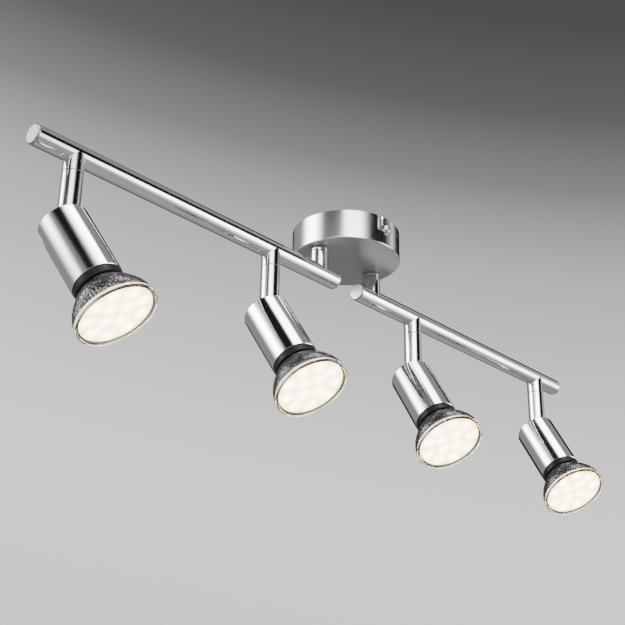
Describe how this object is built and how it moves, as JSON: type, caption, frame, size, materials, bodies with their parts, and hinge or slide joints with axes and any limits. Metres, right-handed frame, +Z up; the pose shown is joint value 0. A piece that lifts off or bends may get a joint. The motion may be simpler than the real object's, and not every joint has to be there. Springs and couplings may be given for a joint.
{
  "type": "track lighting fixture",
  "caption": "Ceiling spotlight bar: tilting spot heads on swivelling satin-nickel arms under a round canopy.",
  "frame": {"origin": "middle of the ceiling bracket, on its top face against the ceiling", "axes": "+X along the arms at rest, +Z up into the ceiling, heads tilt towards -Y"},
  "size_m": [0.54, 0.0988, 0.1627],
  "materials": {
    "satin_nickel": "satin nickel plate",
    "zinc_plate": "zinc plate",
    "bright_steel": "bright plated",
    "brass": "bare",
    "black_plastic": "matt",
    "white_ceramic": "unglazed",
    "white_nylon": "matt",
    "cup_glass": "faceted, silvered inside",
    "front_lens": "clear, lit warm white"
  },
  "bodies": {
    "canopy_base": {"canopy": "satin_nickel", "ceiling_bracket": "zinc_plate", "earth_screw": "brass", "front_side_screw": "bright_steel", "back_side_screw": "bright_steel", "terminal_block": "white_nylon", "left_nipple": "satin_nickel", "left_nut": "brass", "right_nipple": "satin_nickel", "right_nut": "brass"},
    "left_arm": {"left_stem": "satin_nickel", "left_bar": "satin_nickel", "left_inner_cap": "satin_nickel", "left_outer_cap": "satin_nickel", "stub_1": "satin_nickel", "stub_2": "satin_nickel"},
    "right_arm": {"right_stem": "satin_nickel", "right_bar": "satin_nickel", "right_inner_cap": "satin_nickel", "right_outer_cap": "satin_nickel", "stub_3": "satin_nickel", "stub_4": "satin_nickel"},
    "neck_group_1": {"neck_1": "satin_nickel"},
    "head_group_1": {"head_shell_1": "satin_nickel", "yoke_1": "zinc_plate", "tilt_pin_1": "bright_steel", "mouth_ring_1": "black_plastic", "lamp_holder_1": "white_ceramic"},
    "lamp_group_1": {"lamp_base_1": "white_nylon", "lamp_cup_1": "cup_glass", "lamp_lens_1": "front_lens"},
    "neck_group_2": {"neck_2": "satin_nickel"},
    "head_group_2": {"head_shell_2": "satin_nickel", "yoke_2": "zinc_plate", "tilt_pin_2": "bright_steel", "mouth_ring_2": "black_plastic", "lamp_holder_2": "white_ceramic"},
    "lamp_group_2": {"lamp_base_2": "white_nylon", "lamp_cup_2": "cup_glass", "lamp_lens_2": "front_lens"},
    "neck_group_3": {"neck_3": "satin_nickel"},
    "head_group_3": {"head_shell_3": "satin_nickel", "yoke_3": "zinc_plate", "tilt_pin_3": "bright_steel", "mouth_ring_3": "black_plastic", "lamp_holder_3": "white_ceramic"},
    "lamp_group_3": {"lamp_base_3": "white_nylon", "lamp_cup_3": "cup_glass", "lamp_lens_3": "front_lens"},
    "neck_group_4": {"neck_4": "satin_nickel"},
    "head_group_4": {"head_shell_4": "satin_nickel", "yoke_4": "zinc_plate", "tilt_pin_4": "bright_steel", "mouth_ring_4": "black_plastic", "lamp_holder_4": "white_ceramic"},
    "lamp_group_4": {"lamp_base_4": "white_nylon", "lamp_cup_4": "cup_glass", "lamp_lens_4": "front_lens"}
  },
  "joints": [
    {"name": "left_arm_swivel", "type": "hinge", "parent": "canopy_base", "child": "left_arm", "pos_m": [-0.028, 0, -0.041], "axis": [0, 0, 1], "range_deg": [-90, 90]},
    {"name": "right_arm_swivel", "type": "hinge", "parent": "canopy_base", "child": "right_arm", "pos_m": [0.028, 0, -0.041], "axis": [0, 0, 1], "range_deg": [-90, 90]},
    {"name": "head_1_pan", "type": "hinge", "parent": "left_arm", "child": "neck_group_1", "pos_m": [-0.24, 0, -0.0915], "axis": [0, 0, 1], "range_deg": [-175, 175]},
    {"name": "head_1_tilt", "type": "hinge", "parent": "neck_group_1", "child": "head_group_1", "pos_m": [-0.24, 0, -0.0915], "axis": [-0.866, -0.5, 0], "range_deg": [-120, 3]},
    {"name": "lamp_1_twist", "type": "hinge", "parent": "head_group_1", "child": "lamp_group_1", "pos_m": [-0.24, 0, -0.0915], "axis": [0.265, -0.4589, -0.848], "range_deg": [0, 20]},
    {"name": "head_2_pan", "type": "hinge", "parent": "left_arm", "child": "neck_group_2", "pos_m": [-0.076, 0, -0.0915], "axis": [0, 0, 1], "range_deg": [-175, 175]},
    {"name": "head_2_tilt", "type": "hinge", "parent": "neck_group_2", "child": "head_group_2", "pos_m": [-0.076, 0, -0.0915], "axis": [-0.9903, -0.1392, 0], "range_deg": [-120, 3]},
    {"name": "lamp_2_twist", "type": "hinge", "parent": "head_group_2", "child": "lamp_group_2", "pos_m": [-0.076, 0, -0.0915], "axis": [0.0738, -0.5248, -0.848], "range_deg": [0, 20]},
    {"name": "head_3_pan", "type": "hinge", "parent": "right_arm", "child": "neck_group_3", "pos_m": [0.076, 0, -0.0915], "axis": [0, 0, 1], "range_deg": [-175, 175]},
    {"name": "head_3_tilt", "type": "hinge", "parent": "neck_group_3", "child": "head_group_3", "pos_m": [0.076, 0, -0.0915], "axis": [-0.9903, 0.1392, 0], "range_deg": [-120, 3]},
    {"name": "lamp_3_twist", "type": "hinge", "parent": "head_group_3", "child": "lamp_group_3", "pos_m": [0.076, 0, -0.0915], "axis": [-0.0738, -0.5248, -0.848], "range_deg": [0, 20]},
    {"name": "head_4_pan", "type": "hinge", "parent": "right_arm", "child": "neck_group_4", "pos_m": [0.24, 0, -0.0915], "axis": [0, 0, 1], "range_deg": [-175, 175]},
    {"name": "head_4_tilt", "type": "hinge", "parent": "neck_group_4", "child": "head_group_4", "pos_m": [0.24, 0, -0.0915], "axis": [-0.9781, 0.2079, 0], "range_deg": [-120, 3]},
    {"name": "lamp_4_twist", "type": "hinge", "parent": "head_group_4", "child": "lamp_group_4", "pos_m": [0.24, 0, -0.0915], "axis": [-0.1102, -0.5183, -0.848], "range_deg": [0, 20]}
  ]
}
